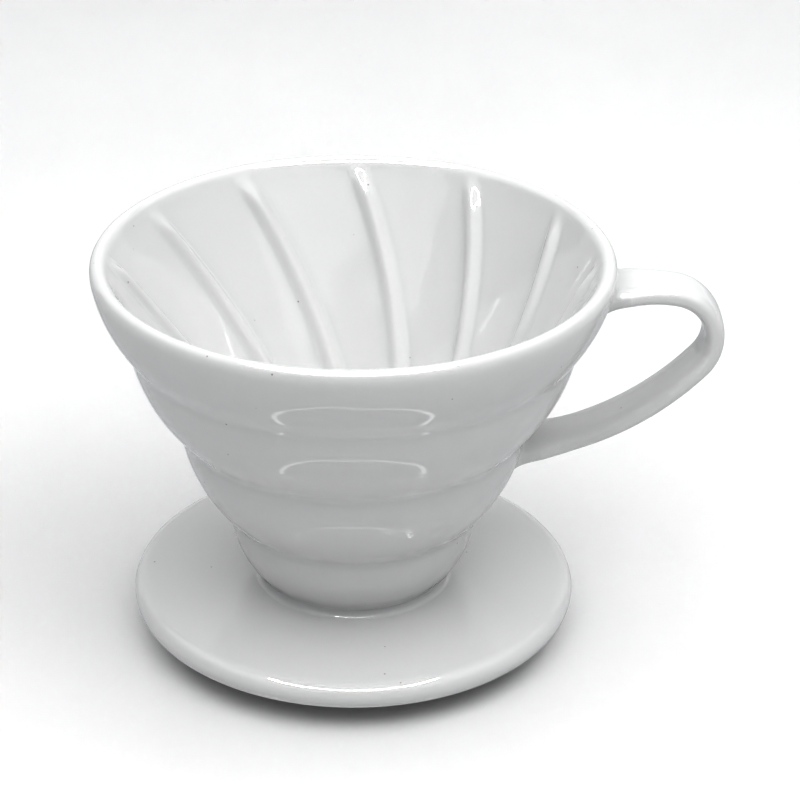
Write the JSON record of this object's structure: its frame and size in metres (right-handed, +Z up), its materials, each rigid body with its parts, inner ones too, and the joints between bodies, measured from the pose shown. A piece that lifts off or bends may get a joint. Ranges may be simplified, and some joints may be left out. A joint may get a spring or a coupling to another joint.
{
  "type": "pour over dripper",
  "caption": "White glazed porcelain pour-over coffee dripper: ribbed filter cone with tiered outside, strap handle, round base plate and locating ring.",
  "frame": {"origin": "on the cone's axis, level with the bottom of the locating ring, which the dripper stands on", "axes": "+Z up along the cone's axis, +X towards the handle"},
  "size_m": [0.1403, 0.116, 0.0917],
  "materials": {
    "body_glaze": "clear gloss glaze over white porcelain",
    "plate_glaze": "clear gloss glaze over white porcelain",
    "handle_glaze": "clear gloss glaze over white porcelain",
    "bare_biscuit": "unglazed, fine matt biscuit"
  },
  "bodies": {
    "root": {"cone_body": "body_glaze", "base_plate": "plate_glaze", "handle": "handle_glaze", "locating_ring": "bare_biscuit", "slip_joint_base": "plate_glaze", "slip_joint_ring": "bare_biscuit", "slip_joint_handle_upper": "handle_glaze", "slip_joint_handle_lower": "handle_glaze"}
  },
  "joints": []
}
